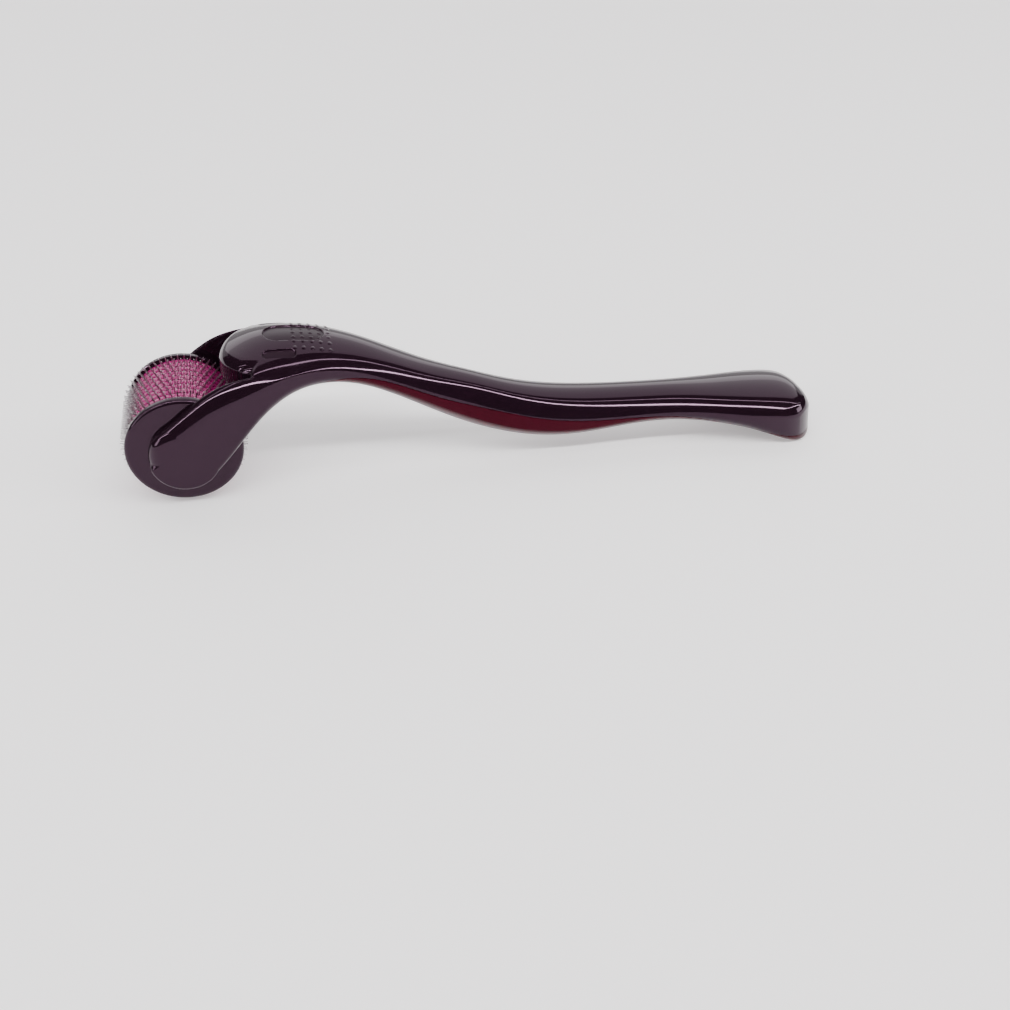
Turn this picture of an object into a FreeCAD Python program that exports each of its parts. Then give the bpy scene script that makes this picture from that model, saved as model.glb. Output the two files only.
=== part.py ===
"""Derma roller: a hand-held skin roller with a free-spinning head of toothed needle discs.

Frame: origin on the surface the roller lies on, under the middle of its overall box.
+X runs from the roller head to the tail of the handle, +Y is across, +Z is up.
All lengths are in millimetres.
"""
import FreeCAD, Part
import math
import os

from FreeCAD import Vector

# ---- driving dimensions -------------------------------------------------------------
OVERALL_LENGTH = 137.3       # needle tips to the end of the tail
TIP_RADIUS = 11.1            # needle points, measured from the axle
AXIS_X = TIP_RADIUS - OVERALL_LENGTH / 2.0
AXIS_Z = TIP_RADIUS          # the head stands on its needle points

# roller head
DISC_COUNT = 9
TEETH_PER_DISC = 60
DISC_THICKNESS = 0.3
TOOTH_ROOT_RADIUS = 9.35
TOOTH_BASE_HALF_WIDTH = 0.17
TOOTH_TIP_HALF_WIDTH = 0.04
SPACER_RADIUS = 9.6
SPACER_THICKNESS = 1.3
SPACER_EDGE_ROUND = 0.4
HEAD_WIDTH = 18.1            # outer faces of the two end flanges
FLANGE_RADIUS = 10.3
FLANGE_THICKNESS = 1.5
FLANGE_EDGE_ROUND = 0.35
BOSS_RADIUS = 2.6            # thrust boss on each flange, beside the arm
BOSS_HEIGHT = 0.2
CORE_FLAT_TO_FLAT = 10.0     # hexagonal core that keys the discs and spacers
KEY_DEPTH = 0.8              # how far the core enters each flange
KEY_CLEARANCE = 0.03
AXLE_RADIUS = 1.0
AXLE_CLEARANCE = 0.05
AXLE_LENGTH = 22.1
AXLE_CHAMFER = 0.25

# fork of the handle
ARM_OUTER_Y = 12.05
ARM_INNER_Y = 9.4
LOBE_RADIUS = 6.2
LOBE_EDGE_ROUND = 0.9
POCKET_RADIUS = 12.9         # clearance pocket around the needle circle
TONGUE_RADIUS = 9.0          # rounded nose of the bridge, seen from above
TONGUE_NOSE_X = 7.2          # from the axle to the foremost point of the nose
WINDOW_END_X = 12.6          # from the axle to the rear end of the side notches

# handle shells
WALL = 1.7
TAIL_END_X = OVERALL_LENGTH - TIP_RADIUS
TAIL_PLAN_RADIUS = 9.1       # round end of the tail at the resting surface
TAIL_LEAN = 0.2              # how much the end leans in for each millimetre of height
CAVITY_EASE = 0.5            # corner sizes of the hollow, against the outside's
CAVITY_START_X = 30.0
CAVITY_END_X = 119.0
PEG_RADIUS = 1.3
PEG_BOSS_RADIUS = 2.3
PEG_CLEARANCE = 0.05
PEG_LENGTH = 2.0
PEG_TIP_GAP = 0.2            # left free at the bottom of each peg's socket
PEG_STATIONS_X = (40.0, 68.0, 105.0)

# thumb grip on top of the bridge
PAD_DEPTH = 0.3
PAD_WIDTH = 6.0              # sunken pad along the middle
PAD_START_X = 15.2
PAD_END_X = 26.2
SIDE_PAD_WIDTH = 1.9         # narrow sunken pad on each side of it
SIDE_PAD_START_X = 14.8
SIDE_PAD_END_X = 20.8
SIDE_PAD_Y = 5.9
DOT_RADIUS = 0.42
DOT_HEIGHT = 0.2
DOT_COLUMNS = 5
DOT_ROWS = 7
DOT_START_X = 20.6
DOT_COLUMN_PITCH = 1.55
DOT_ROW_PITCH = 1.6

# Sections of the handle, from the axle to the tail, measured from the axle along X and
# from the resting surface along Z.  Each one lies in the plane through its low point and
# its crown, and is: low x, low z, crown x, crown z, half width, shoulder drop, shoulder
# run, crown rise, belly rise, lower corner.
HANDLE_SECTIONS = (
    (4.23, 6.57, -4.23, 15.63, 12.05, 2.6, 1.9, 0.05, 0.03, 0.9),
    (7.4, 10.0, 0.6, 19.8, 12.05, 4.1, 2.1, 0.40, 0.03, 1.0),
    (10.4, 13.6, 4.9, 24.0, 11.95, 4.7, 2.3, 1.20, 0.05, 1.2),
    (13.3, 16.7, 9.3, 26.7, 11.6, 4.9, 2.6, 1.80, 0.10, 1.5),
    (16.3, 18.8, 14.1, 28.3, 10.8, 4.7, 2.9, 1.90, 0.25, 1.9),
    (20.3, 20.3, 19.4, 28.7, 9.5, 4.0, 3.0, 1.60, 0.40, 2.2),
    (25.3, 20.6, 25.5, 28.0, 8.0, 3.6, 2.9, 1.10, 0.45, 2.2),
    (31.0, 19.3, 32.4, 26.0, 6.7, 3.3, 2.8, 0.80, 0.45, 2.1),
    (37.0, 16.5, 39.2, 23.0, 5.9, 3.3, 2.7, 0.60, 0.45, 2.1),
    (43.5, 12.7, 46.2, 20.0, 5.4, 3.6, 2.6, 0.55, 0.45, 2.3),
    (51.0, 8.6, 53.8, 17.4, 5.2, 4.2, 2.6, 0.55, 0.45, 2.5),
    (59.0, 5.5, 61.0, 15.0, 5.4, 4.4, 2.7, 0.55, 0.45, 2.6),
    (67.0, 3.9, 68.2, 13.3, 5.75, 4.3, 2.9, 0.55, 0.45, 2.6),
    (76.0, 3.8, 76.4, 12.3, 5.9, 4.0, 3.0, 0.55, 0.45, 2.5),
    (86.0, 4.9, 86.0, 11.8, 5.8, 3.5, 2.9, 0.55, 0.45, 2.3),
    (95.5, 5.1, 95.5, 11.5, 6.0, 3.3, 2.9, 0.55, 0.45, 2.2),
    (104.0, 4.2, 104.0, 11.2, 7.1, 3.6, 3.1, 0.65, 0.45, 2.2),
    (111.0, 2.7, 111.0, 11.1, 8.3, 4.1, 3.3, 0.85, 0.45, 2.2),
    (117.0, 0.9, 116.6, 10.9, 9.0, 4.4, 3.6, 0.95, 0.30, 2.0),
    (121.6, -0.15, 120.6, 10.2, 9.05, 4.4, 3.7, 0.95, 0.10, 1.8),
    (124.4, -0.35, 123.3, 8.4, 9.05, 4.2, 3.8, 0.90, 0.10, 1.8),
    (126.8, -0.5, 125.6, 5.9, 9.05, 3.7, 3.8, 0.80, 0.10, 1.6),
)

# Line along which the two shells meet, seen from the side.
PARTING_LINE = (
    (13.0, 15.6), (17.0, 18.9), (21.0, 20.9), (25.0, 21.8), (29.0, 22.1), (34.0, 21.2), (39.0, 19.2),
    (44.0, 16.8), (50.0, 14.3), (58.0, 11.7), (64.0, 10.0), (70.0, 8.8), (77.0, 8.1), (84.0, 7.9),
    (92.0, 7.6), (99.0, 6.6), (106.0, 4.9), (112.0, 3.4), (117.0, 2.3), (122.0, 1.7), (130.0, 1.5),
)

# ---- working sizes ------------------------------------------------------------------
BEZIER_ARC = 0.5523          # pull that makes a cubic curve follow a quarter circle
REACH = 40.0                 # cutting shapes reach this far, right through the handle
BLOCK = 300.0                # side of a block larger than the whole part
OVERRUN = 1.0                # cutting shapes run this far past the faces they cut
SAME_PLACE = 1e-6
HEX_SIDES = 6
LOWEST_FRONT_Z = -5.0        # under the head, from the resting surface
GRIP_TOOL_Z = 24.0           # between the grip's skin and the fork's window below it
DOT_ROOT = 1.0               # how far a dot's foot goes into the shell
BOSS_ROOT = 0.5              # how far a thrust boss's foot goes into its flange
PEG_ROOT = 1.0               # how far a peg's foot goes below the seam
PEG_BOSS_OVERHANG = 5.0      # how far the boss's blank starts below the seam


def at_axle(x, y, z):
    """Point given from the axle along X, in the part's frame."""
    return Vector(AXIS_X + x, y, z)


def bezier(points):
    """Edge of one Bezier curve through its pole list."""
    curve = Part.BezierCurve()
    curve.setPoles(points)
    return curve.toShape()


def solid_of(shape):
    """The largest solid in a shape."""
    return max(shape.Solids, key=lambda solid: solid.Volume)


def section_profile(height, half, drop, run, rise, belly, corner):
    """Poles of one section's eight edges in its own plane, as (across, up) pairs."""
    foot = half - corner
    shelf = half - run
    side_top = height - drop
    shelf_up = height - rise
    foot_slope = belly * 8.0 / (3.0 * foot)
    shelf_slope = rise * 8.0 / (3.0 * shelf)
    pull = BEZIER_ARC
    corner_up = belly + corner
    right = [
        [(foot, belly), (foot + corner * pull, belly + corner * pull * foot_slope),
         (half, corner_up - corner * pull), (half, corner_up)],
        [(half, corner_up), (half, side_top)],
        [(half, side_top), (half, side_top + (drop - rise) * pull),
         (shelf + run * pull, shelf_up - run * pull * shelf_slope), (shelf, shelf_up)],
    ]
    top_pull = shelf_up + rise * 4.0 / 3.0
    top = [(shelf, shelf_up), (shelf / 2.0, top_pull), (-shelf / 2.0, top_pull), (-shelf, shelf_up)]
    left = [[(-across, up) for across, up in reversed(edge)] for edge in reversed(right)]
    bottom = [(-foot, belly), (-foot / 2.0, -belly / 3.0), (foot / 2.0, -belly / 3.0), (foot, belly)]
    return right + [top] + left + [bottom]


def section_wire(section, inset=0.0):
    """Closed wire of one handle section, drawn in by the inset."""
    low_x, low_z, crown_x, crown_z, half, drop, run, rise, belly, corner = section
    low = at_axle(low_x, 0.0, low_z)
    crown = at_axle(crown_x, 0.0, crown_z)
    up = crown.sub(low)
    height = up.Length
    up.normalize()
    low = low.add(up * inset)
    ease = 1.0 if inset == 0.0 else CAVITY_EASE
    profile = section_profile(height - 2.0 * inset, half - inset, drop * ease, run * ease,
                              rise * ease, belly * ease, corner * ease)
    edges = []
    for edge in profile:
        poles = [low.add(up * rise_up).add(Vector(0.0, across, 0.0)) for across, rise_up in edge]
        edges.append(bezier(poles))
    return Part.Wire(edges)


def handle_loft(sections, inset=0.0):
    """Solid through a run of handle sections."""
    return Part.makeLoft([section_wire(section, inset) for section in sections], True, False)


def around_axle(radius, angle, y):
    """Point at a radius and an angle around the axle, in radians from +X towards +Z."""
    return Vector(AXIS_X + radius * math.cos(angle), y, AXIS_Z + radius * math.sin(angle))


def y_cylinder(radius, y_from, y_to):
    """Cylinder about the axle between two Y planes."""
    return Part.makeCylinder(radius, y_to - y_from, Vector(AXIS_X, y_from, AXIS_Z), Vector(0, 1, 0))


def tail_trim():
    """Plan outline that gives the tail its round end, leaning in a little towards the top."""
    axis = Vector(-TAIL_LEAN, 0.0, 1.0)
    centre_x = TAIL_END_X - TAIL_PLAN_RADIUS * axis.Length
    foot = at_axle(centre_x + TAIL_LEAN * REACH, 0.0, -REACH)
    drum = Part.makeCylinder(TAIL_PLAN_RADIUS, 2.0 * REACH, foot, axis)
    slab = Part.makeBox(centre_x + REACH, 2.0 * REACH, 2.0 * REACH, at_axle(-REACH, -REACH, -REACH))
    return drum.fuse(slab)


def window_space():
    """Everything the fork leaves open: the head's pocket and the window above it."""
    wide = 2.0 * ARM_INNER_Y
    tongue = Part.makeCylinder(TONGUE_RADIUS, REACH, at_axle(TONGUE_NOSE_X + TONGUE_RADIUS, 0.0, 0.0))
    box = Part.makeBox(WINDOW_END_X + REACH, wide, REACH, at_axle(-REACH, -ARM_INNER_Y, AXIS_Z))
    pocket = y_cylinder(POCKET_RADIUS, -ARM_INNER_Y, ARM_INNER_Y)
    front = Part.makeBox(REACH, wide, REACH, at_axle(-REACH, -ARM_INNER_Y, LOWEST_FRONT_Z))
    return box.cut(tongue).fuse([pocket, front])


def round_edges(shape):
    """Every circular edge of a shape."""
    return [edge for edge in shape.Edges if edge.Curve.TypeId == "Part::GeomCircle"]


def rims_at(shape, outer_y):
    """Round edges of a shape that lie this far from the middle plane, on either side."""
    return [edge for edge in round_edges(shape) if abs(abs(edge.Curve.Center.y) - outer_y) < SAME_PLACE]


def lobe(side):
    """Round end of one arm, which carries the axle."""
    y_from = ARM_INNER_Y if side > 0 else -ARM_OUTER_Y
    disc = y_cylinder(LOBE_RADIUS, y_from, y_from + ARM_OUTER_Y - ARM_INNER_Y)
    return disc.makeFillet(LOBE_EDGE_ROUND, rims_at(disc, ARM_OUTER_Y))


def handle_body():
    """Outer form of the whole handle as one solid, before it is hollowed and split."""
    above_floor = Part.makeBox(BLOCK, BLOCK, BLOCK, Vector(-BLOCK / 2.0, -BLOCK / 2.0, 0.0))
    body = solid_of(handle_loft(HANDLE_SECTIONS).common(tail_trim()).common(above_floor))
    body = solid_of(body.cut(window_space()))
    body = solid_of(body.fuse([lobe(-1), lobe(1)]))
    return thumb_grip(body)


def pill_prism(start_x, end_x, y, width, bottom_z):
    """Tall prism with a round-ended outline in plan."""
    radius = width / 2.0
    ends = [Part.makeCylinder(radius, REACH, at_axle(x, y, bottom_z))
            for x in (start_x + radius, end_x - radius)]
    corner = at_axle(start_x + radius, y - radius, bottom_z)
    middle = Part.makeBox(end_x - start_x - width, width, REACH, corner)
    return ends[0].fuse([ends[1], middle])


def surface_height(body, x, y):
    """Height of the body's top surface at one place."""
    line = Part.makeLine(at_axle(x, y, 0.0), at_axle(x, y, BLOCK))
    return body.common(line).BoundBox.ZMax


def thumb_grip(body):
    """Body with the sunken pads and raised dots of the thumb grip."""
    skin = body.copy()
    skin.translate(Vector(0.0, 0.0, -PAD_DEPTH))
    pads = [pill_prism(PAD_START_X, PAD_END_X, 0.0, PAD_WIDTH, GRIP_TOOL_Z)]
    for y in (-SIDE_PAD_Y, SIDE_PAD_Y):
        pads.append(pill_prism(SIDE_PAD_START_X, SIDE_PAD_END_X, y, SIDE_PAD_WIDTH, GRIP_TOOL_Z))
    for pad in pads:
        body = solid_of(body.cut(pad.cut(skin)))
    dots = []
    for column in range(DOT_COLUMNS):
        for row in range(DOT_ROWS):
            x = DOT_START_X + column * DOT_COLUMN_PITCH
            y = (row - (DOT_ROWS - 1) / 2.0) * DOT_ROW_PITCH
            top = surface_height(body, x, y)
            foot = at_axle(x, y, top - DOT_ROOT)
            dots.append(Part.makeCylinder(DOT_RADIUS, DOT_ROOT + DOT_HEIGHT, foot))
    return solid_of(body.fuse(dots))


def below_parting():
    """Everything under the parting line, as one wide prism."""
    line = Part.BSplineCurve()
    line.interpolate([at_axle(x, -REACH, z) for x, z in PARTING_LINE])
    first = at_axle(PARTING_LINE[0][0], -REACH, PARTING_LINE[0][1])
    last = at_axle(PARTING_LINE[-1][0], -REACH, PARTING_LINE[-1][1])
    low_last = Vector(last.x, -REACH, -REACH)
    low_first = Vector(first.x, -REACH, -REACH)
    edges = [line.toShape(), Part.makeLine(last, low_last), Part.makeLine(low_last, low_first),
             Part.makeLine(low_first, first)]
    return Part.Face(Part.Wire(edges)).extrude(Vector(0, 2.0 * REACH, 0))


def hex_bar(flat_to_flat, y_from, y_to):
    """Hexagonal bar about the axle between two Y planes."""
    corner = flat_to_flat / math.sqrt(3.0)
    points = []
    for index in range(HEX_SIDES + 1):
        angle = 2.0 * math.pi * index / HEX_SIDES
        points.append(around_axle(corner, angle, y_from))
    return Part.Face(Part.makePolygon(points)).extrude(Vector(0, y_to - y_from, 0))


def needle_disc(y_from, turn):
    """One thin steel disc with a ring of pointed teeth and a hexagonal hole."""
    points = []
    pitch = 360.0 / TEETH_PER_DISC
    base_turn = math.degrees(TOOTH_BASE_HALF_WIDTH / TOOTH_ROOT_RADIUS)
    tip_turn = math.degrees(TOOTH_TIP_HALF_WIDTH / TIP_RADIUS)
    for tooth in range(TEETH_PER_DISC):
        middle = tooth * pitch + turn
        for radius, offset in ((TOOTH_ROOT_RADIUS, -base_turn), (TIP_RADIUS, -tip_turn),
                               (TIP_RADIUS, tip_turn), (TOOTH_ROOT_RADIUS, base_turn)):
            points.append(around_axle(radius, math.radians(middle + offset), y_from))
    points.append(points[0])
    disc = Part.Face(Part.makePolygon(points)).extrude(Vector(0, DISC_THICKNESS, 0))
    hole = hex_bar(CORE_FLAT_TO_FLAT + 2.0 * KEY_CLEARANCE, y_from - OVERRUN, y_from + OVERRUN)
    return disc.cut(hole)


def spacer(y_from, y_to):
    """Coloured ring that keeps two needle discs apart."""
    hole = hex_bar(CORE_FLAT_TO_FLAT + 2.0 * KEY_CLEARANCE, y_from - OVERRUN, y_to + OVERRUN)
    disc = y_cylinder(SPACER_RADIUS, y_from, y_to)
    return disc.makeFillet(SPACER_EDGE_ROUND, round_edges(disc)).cut(hole)


def end_flange(side):
    """Round end cap of the head, with a thrust boss outside and a key recess inside."""
    outer_y = HEAD_WIDTH / 2.0
    inner_y = outer_y - FLANGE_THICKNESS
    low, high = sorted((side * inner_y, side * outer_y))
    disc = y_cylinder(FLANGE_RADIUS, low, high)
    disc = disc.makeFillet(FLANGE_EDGE_ROUND, rims_at(disc, outer_y))
    low, high = sorted((side * (outer_y - BOSS_ROOT), side * (outer_y + BOSS_HEIGHT)))
    disc = disc.fuse(y_cylinder(BOSS_RADIUS, low, high))
    low, high = sorted((side * (inner_y - OVERRUN), side * (inner_y + KEY_DEPTH)))
    disc = disc.cut(hex_bar(CORE_FLAT_TO_FLAT + 2.0 * KEY_CLEARANCE, low, high))
    return disc.cut(y_cylinder(AXLE_RADIUS + AXLE_CLEARANCE, -REACH, REACH))


def roller_core():
    """Hexagonal tube that carries the discs and turns on the axle."""
    half = HEAD_WIDTH / 2.0 - FLANGE_THICKNESS + KEY_DEPTH
    bar = hex_bar(CORE_FLAT_TO_FLAT, -half, half)
    return bar.cut(y_cylinder(AXLE_RADIUS + AXLE_CLEARANCE, -REACH, REACH))


def axle_pin():
    """Steel pin pressed into both arms, on which the head turns."""
    pin = y_cylinder(AXLE_RADIUS, -AXLE_LENGTH / 2.0, AXLE_LENGTH / 2.0)
    return pin.makeChamfer(AXLE_CHAMFER, rims_at(pin, AXLE_LENGTH / 2.0))


def roller_head():
    """Every piece of the turning head, by node name."""
    pieces = {"roller_core": roller_core(), "end_flange_right": end_flange(-1),
              "end_flange_left": end_flange(1)}
    pitch = SPACER_THICKNESS + DISC_THICKNESS
    stack_half = HEAD_WIDTH / 2.0 - FLANGE_THICKNESS
    first_disc = -(DISC_COUNT - 1) / 2.0 * pitch - DISC_THICKNESS / 2.0
    tooth_pitch = 360.0 / TEETH_PER_DISC
    for index in range(DISC_COUNT):
        y_from = first_disc + index * pitch
        turn = tooth_pitch / 2.0 * (index % 2)
        pieces["needle_disc_%d" % (index + 1)] = needle_disc(y_from, turn)
    edges = [-stack_half] + [first_disc + index * pitch for index in range(DISC_COUNT)] + [stack_half]
    for index in range(DISC_COUNT + 1):
        y_from = edges[index] + (DISC_THICKNESS if index else 0.0)
        pieces["spacer_ring_%d" % (index + 1)] = spacer(y_from, edges[index + 1])
    return pieces


def parting_height(x):
    """Height of the parting line at one distance from the axle."""
    line = Part.BSplineCurve()
    line.interpolate([Vector(px, 0.0, pz) for px, pz in PARTING_LINE])
    wall = Part.makeLine(Vector(x, 0.0, -BLOCK), Vector(x, 0.0, BLOCK))
    return line.toShape().distToShape(wall)[1][0][0].z


def handle_shells():
    """The two moulded halves of the handle, hollow and pegged together."""
    body = handle_body()
    hollow = [section for section in HANDLE_SECTIONS if CAVITY_START_X < section[0] < CAVITY_END_X]
    cavity = handle_loft(hollow, WALL)
    lower_side = below_parting()
    shell = body.cut(cavity)
    upper = solid_of(shell.cut(lower_side))
    lower = solid_of(shell.common(lower_side))
    upper_core = body.cut(lower_side)
    lower_core = body.common(lower_side)
    for x in PEG_STATIONS_X:
        seam_z = parting_height(x)
        blank_foot = at_axle(x, 0.0, seam_z - PEG_BOSS_OVERHANG)
        boss = Part.makeCylinder(PEG_BOSS_RADIUS, REACH, blank_foot).common(upper_core)
        hole = Part.makeCylinder(PEG_RADIUS + PEG_CLEARANCE, PEG_BOSS_OVERHANG + PEG_LENGTH, blank_foot)
        stem = Part.makeCylinder(PEG_RADIUS, REACH, at_axle(x, 0.0, seam_z - REACH)).common(lower_core)
        tip_height = PEG_ROOT + PEG_LENGTH - PEG_TIP_GAP
        tip = Part.makeCylinder(PEG_RADIUS, tip_height, at_axle(x, 0.0, seam_z - PEG_ROOT))
        upper = solid_of(upper.fuse(boss).cut(hole))
        lower = solid_of(lower.fuse([stem, tip]))
    socket = y_cylinder(AXLE_RADIUS, -AXLE_LENGTH / 2.0, AXLE_LENGTH / 2.0)
    upper = solid_of(upper.cut(socket))
    return upper, lower


def main():
    """Build every piece and write one STEP file per node."""
    os.makedirs("parts", exist_ok=True)
    pieces = roller_head()
    upper, lower = handle_shells()
    pieces["handle_upper_shell"] = upper
    pieces["handle_lower_shell"] = lower
    pieces["axle_pin"] = axle_pin()
    for name, shape in pieces.items():
        print(name, shape.isValid(), round(shape.Volume, 2), len(shape.Solids))
        shape.exportStep("parts/%s.step" % name)


main()
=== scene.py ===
"""Derma roller: the looks of its moulded handle and its free-turning needle head.

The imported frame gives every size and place; the pieces built here stand for its nodes.
Everything is in metres in the frame's own axes: +X to the tail, +Y across, +Z up.
"""

import logging
import math
from dataclasses import dataclass, field
from enum import Enum
from typing import Iterable, Sequence

import bmesh
import bpy
import numpy as np
from mathutils import Matrix, Vector
from mathutils.kdtree import KDTree


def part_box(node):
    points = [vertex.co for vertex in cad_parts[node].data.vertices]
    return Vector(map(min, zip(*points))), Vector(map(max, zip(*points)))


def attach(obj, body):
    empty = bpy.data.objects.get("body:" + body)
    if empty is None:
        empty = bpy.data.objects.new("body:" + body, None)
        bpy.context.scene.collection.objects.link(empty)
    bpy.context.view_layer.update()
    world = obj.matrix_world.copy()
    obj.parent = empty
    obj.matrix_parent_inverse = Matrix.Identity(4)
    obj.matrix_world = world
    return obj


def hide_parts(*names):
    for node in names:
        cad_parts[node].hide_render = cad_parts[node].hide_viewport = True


MM = 0.001
LOG = logging.getLogger("derma_roller")
# A colour mix node repeats its socket names for every data type, so these are reached by number.
MIX_SHARE, MIX_FIRST, MIX_SECOND, MIX_COLOUR = 0, 6, 7, 2

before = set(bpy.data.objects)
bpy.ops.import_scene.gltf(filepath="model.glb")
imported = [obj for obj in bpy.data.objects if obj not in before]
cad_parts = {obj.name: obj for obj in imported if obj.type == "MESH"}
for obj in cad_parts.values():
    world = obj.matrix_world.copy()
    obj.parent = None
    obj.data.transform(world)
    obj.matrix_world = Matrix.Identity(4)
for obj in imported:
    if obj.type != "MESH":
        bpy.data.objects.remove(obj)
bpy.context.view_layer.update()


class End(Enum):
    """An end of the roller head; the value is the sign of its Y."""

    NEAR = -1.0
    FAR = 1.0


def linear(hex_colour: str) -> tuple[float, float, float, float]:
    """Turn an sRGB hex colour into linear values.

    Args:
        hex_colour: Six hex digits, such as "2a1820".

    Returns:
        Linear red, green and blue, with an alpha of 1.
    """
    values = []
    for start in (0, 2, 4):
        share = int(hex_colour[start:start + 2], 16) / 255.0
        values.append(share / 12.92 if share <= 0.04045 else ((share + 0.055) / 1.055) ** 2.4)
    return (values[0], values[1], values[2], 1.0)


def add_node(tree: bpy.types.NodeTree, kind: str, settings: dict | None = None,
             links: dict | None = None) -> bpy.types.Node:
    """Add one node with its settings and its incoming links.

    Args:
        tree: Node tree that takes the node.
        kind: Blender's name of the node type.
        settings: Socket names or numbers with their values, and node attributes with theirs.
        links: Socket names or numbers of the new node with the output sockets that feed them.

    Returns:
        The new node.
    """
    node = tree.nodes.new(kind)
    for name, value in (settings or {}).items():
        if isinstance(name, int) or name in node.inputs:
            node.inputs[name].default_value = value
        else:
            setattr(node, name, value)
    for name, source in (links or {}).items():
        tree.links.new(source, node.inputs[name])
    return node


@dataclass(frozen=True)
class MouldedPlastic:
    """Injection-moulded plastic: a polished skin with faint flow waves and a fine micro-texture."""

    name: str
    dark: str
    light: str
    roughness: float
    roughness_spread: float
    ior: float
    flow_mm: float
    grain_mm: float
    wave_depth_mm: float
    grain_depth_mm: float
    tint: str = "ffffff"

    def material(self) -> bpy.types.Material:
        """Build the node material.

        Returns:
            The finished material.
        """
        made = bpy.data.materials.new(self.name)
        made.use_nodes = True
        tree = made.node_tree
        shader = tree.nodes["Principled BSDF"]
        place = add_node(tree, "ShaderNodeTexCoord")
        flow = add_node(tree, "ShaderNodeTexNoise",
                        {"Scale": 1.0 / (self.flow_mm * MM), "Detail": 3.0, "Roughness": 0.5},
                        {"Vector": place.outputs["Object"]})
        grain = add_node(tree, "ShaderNodeTexNoise",
                         {"Scale": 1.0 / (self.grain_mm * MM), "Detail": 2.0, "Roughness": 0.6},
                         {"Vector": place.outputs["Object"]})
        tone = add_node(tree, "ShaderNodeMix",
                        {"data_type": "RGBA", MIX_FIRST: linear(self.dark), MIX_SECOND: linear(self.light)},
                        {MIX_SHARE: flow.outputs["Fac"]})
        tree.links.new(tone.outputs[MIX_COLOUR], shader.inputs["Base Color"])
        polish = add_node(tree, "ShaderNodeMapRange",
                          {"To Min": self.roughness - self.roughness_spread,
                           "To Max": self.roughness + self.roughness_spread},
                          {"Value": grain.outputs["Fac"]})
        tree.links.new(polish.outputs["Result"], shader.inputs["Roughness"])
        wave = add_node(tree, "ShaderNodeBump", {"Strength": 1.0, "Distance": self.wave_depth_mm * MM},
                        {"Height": flow.outputs["Fac"]})
        skin = add_node(tree, "ShaderNodeBump", {"Strength": 1.0, "Distance": self.grain_depth_mm * MM},
                        {"Height": grain.outputs["Fac"], "Normal": wave.outputs["Normal"]})
        tree.links.new(skin.outputs["Normal"], shader.inputs["Normal"])
        shader.inputs["IOR"].default_value = self.ior
        shader.inputs["Specular Tint"].default_value = linear(self.tint)
        return made


@dataclass(frozen=True)
class GroundSteel:
    """Stainless steel ground to shape: fine grinding lines across it and small tone changes."""

    name: str
    dark: str
    light: str
    roughness: float
    roughness_spread: float
    line_mm: float
    line_depth_mm: float
    stretch: float = 8.0

    def material(self) -> bpy.types.Material:
        """Build the node material.

        Returns:
            The finished material.
        """
        made = bpy.data.materials.new(self.name)
        made.use_nodes = True
        tree = made.node_tree
        shader = tree.nodes["Principled BSDF"]
        place = add_node(tree, "ShaderNodeTexCoord")
        squeeze = add_node(tree, "ShaderNodeMapping", {"Scale": (1.0, self.stretch, 1.0)},
                           {"Vector": place.outputs["Object"]})
        lines = add_node(tree, "ShaderNodeTexNoise",
                         {"Scale": 1.0 / (self.line_mm * MM), "Detail": 3.0},
                         {"Vector": squeeze.outputs["Vector"]})
        tone = add_node(tree, "ShaderNodeMix",
                        {"data_type": "RGBA", MIX_FIRST: linear(self.dark), MIX_SECOND: linear(self.light)},
                        {MIX_SHARE: lines.outputs["Fac"]})
        tree.links.new(tone.outputs[MIX_COLOUR], shader.inputs["Base Color"])
        polish = add_node(tree, "ShaderNodeMapRange",
                          {"To Min": self.roughness - self.roughness_spread,
                           "To Max": self.roughness + self.roughness_spread},
                          {"Value": lines.outputs["Fac"]})
        tree.links.new(polish.outputs["Result"], shader.inputs["Roughness"])
        relief = add_node(tree, "ShaderNodeBump", {"Strength": 1.0, "Distance": self.line_depth_mm * MM},
                          {"Height": lines.outputs["Fac"]})
        tree.links.new(relief.outputs["Normal"], shader.inputs["Normal"])
        shader.inputs["Metallic"].default_value = 1.0
        return made


# Grain on every moulded skin is drawn coarser than the real micron-fine one, so that it shows at all.

# Polished black ABS with a trace of plum in it: mirrors the lights with a soft, slightly wavy edge.
UPPER_ABS = MouldedPlastic("abs_polished_black_plum", "140911", "1a0d16", 0.06, 0.02, 1.37,
                           9.0, 0.35, 0.008, 0.0004, "ffd0f4")
# Polished wine-red ABS: the same skin over a deep translucent red.
LOWER_ABS = MouldedPlastic("abs_polished_wine", "240109", "2c020e", 0.08, 0.02, 1.37,
                           9.0, 0.35, 0.008, 0.0004, "e05c80")
# Spark-textured ABS in the pads: too rough to mirror, so it stays darker than the skin around it.
PAD_ABS = MouldedPlastic("abs_spark_textured_pads", "160b13", "1e1019", 0.32, 0.04, 1.24,
                         4.0, 0.18, 0.004, 0.004, "ffd0f4")
# Black ABS turned out of a polished mould: a flat, clean mirror with a soft rim.
FLANGE_ABS = MouldedPlastic("abs_polished_black_flange", "140911", "1a0d16", 0.08, 0.02, 1.37,
                            6.0, 0.3, 0.008, 0.0006, "ffd0f4")
# Magenta polycarbonate straight from a fine-ground mould: bright colour under a broad, soft shine.
SPACER_PC = MouldedPlastic("polycarbonate_magenta", "8a1058", "a0186c", 0.24, 0.06, 1.5,
                           3.0, 0.2, 0.006, 0.002)
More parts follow.
